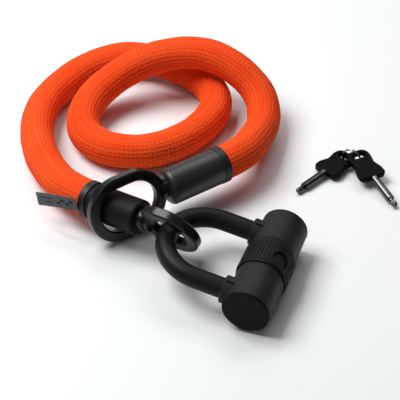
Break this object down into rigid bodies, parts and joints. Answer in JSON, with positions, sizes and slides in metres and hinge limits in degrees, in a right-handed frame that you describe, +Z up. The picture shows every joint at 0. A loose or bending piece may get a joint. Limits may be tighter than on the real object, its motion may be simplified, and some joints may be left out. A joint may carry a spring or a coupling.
{
  "type": "textile tether lock with small u lock",
  "caption": "Knitted rope tether with a large and a small steel eyelet, closed by a small U-shaped lock with a turning dust cover, and keys on a split ring.",
  "frame": {"origin": "on the floor below the U-lock, midway between the shackle's legs under the crossbar's axis", "axes": "+X along the crossbar, +Y from the crossbar towards the shackle's bow, +Z up from the floor"},
  "size_m": [0.3093, 0.3464, 0.0644],
  "materials": {
    "knit_jacket": "knitted, vivid orange",
    "inner_textile": "woven, dark grey",
    "core_fibre": "bundled fibre",
    "label_cloth": "woven label, grey",
    "black_metal": "satin black coating on forged steel",
    "black_vinyl": "smooth satin vinyl",
    "black_plastic": "fine matt moulding",
    "key_plastic": "soft matt moulding",
    "hard_steel": "hardened steel",
    "key_steel": "nickel plated, worn bright",
    "bright_wire": "bright plated wire",
    "lock_brass": "machined brass"
  },
  "bodies": {
    "tether": {"rope_jacket": "knit_jacket", "rope_liner": "inner_textile", "rope_core": "core_fibre", "large_eyelet": "black_metal", "small_eyelet": "black_metal", "label_tag": "label_cloth", "label_stitching": "inner_textile", "large_sleeve": "black_metal", "large_sleeve_collar": "black_metal", "large_core_socket": "hard_steel", "large_lock_nut": "hard_steel", "large_cross_pin": "hard_steel", "small_sleeve": "black_metal", "small_sleeve_collar": "black_metal", "small_core_socket": "hard_steel", "small_lock_nut": "hard_steel", "small_cross_pin": "hard_steel"},
    "shackle": {"shackle_bar": "hard_steel", "shackle_coating": "black_vinyl"},
    "crossbar": {"crossbar_tube": "hard_steel", "bar_shell_near": "black_plastic", "bar_shell_far": "black_plastic", "end_cap_near": "black_plastic", "end_cap_far": "black_plastic", "leg_collar_near": "black_plastic", "leg_collar_far": "black_plastic", "leg_socket_near": "hard_steel", "leg_socket_far": "hard_steel", "roll_pins": "hard_steel", "lock_housing": "hard_steel", "cylinder_clip": "hard_steel", "drill_guard": "hard_steel"},
    "dust_cover": {"dust_cover": "black_plastic"},
    "lock_core": {"core_barrel": "lock_brass", "detainer_discs": "lock_brass", "sidebar": "hard_steel", "core_cam": "hard_steel", "cam_screw": "hard_steel"},
    "bolt_near": {"bolt_near": "hard_steel"},
    "bolt_far": {"bolt_far": "hard_steel"},
    "key_ring": {"key_ring": "bright_wire"},
    "key_a": {"key_a_blade": "key_steel", "key_a_head": "key_plastic"},
    "key_b": {"key_b_blade": "key_steel", "key_b_head": "key_plastic"}
  },
  "joints": [
    {"name": "shackle_swing", "type": "hinge", "parent": "tether", "child": "shackle", "pos_m": [0, 0.07894, 0.03299], "axis": [-1, 0, 0], "range_deg": [0, 60]},
    {"name": "crossbar_pull", "type": "slide", "parent": "shackle", "child": "crossbar", "axis": [0, -0.9873, -0.1587], "range_m": [0, 0.045]},
    {"name": "dust_cover_turn", "type": "hinge", "parent": "crossbar", "child": "dust_cover", "pos_m": [0, 0, 0.0203], "axis": [1, 0, 0], "range_deg": [0, 60]},
    {"name": "core_turn", "type": "hinge", "parent": "crossbar", "child": "lock_core", "pos_m": [-0.003, 0, 0.0203], "axis": [0, 0.9873, 0.1587], "range_deg": [0, 90]},
    {"name": "bolt_far_slide", "type": "slide", "parent": "crossbar", "child": "bolt_far", "axis": [1, 0, 0], "range_m": [0, 0.0071]},
    {"name": "bolt_near_slide", "type": "slide", "parent": "crossbar", "child": "bolt_near", "axis": [-1, 0, 0], "range_m": [0, 0.0071]},
    {"name": "key_set_lift", "type": "slide", "parent": "tether", "child": "key_ring", "axis": [0, 0, 1], "range_m": [0, 0.08]},
    {"name": "key_a_fan", "type": "hinge", "parent": "key_ring", "child": "key_a", "pos_m": [0.17406, -0.01759, 0.00525], "axis": [0, 0, -1], "range_deg": [0, 25]},
    {"name": "key_b_fan", "type": "hinge", "parent": "key_ring", "child": "key_b", "pos_m": [0.17076, -0.03003, 0.01213], "axis": [0, 0, 1], "range_deg": [0, 25]}
  ],
  "couplings": [
    {"joint": "bolt_far_slide", "follows": "core_turn", "m_per_rad": 0.0045},
    {"joint": "bolt_near_slide", "follows": "core_turn", "m_per_rad": 0.0045}
  ]
}
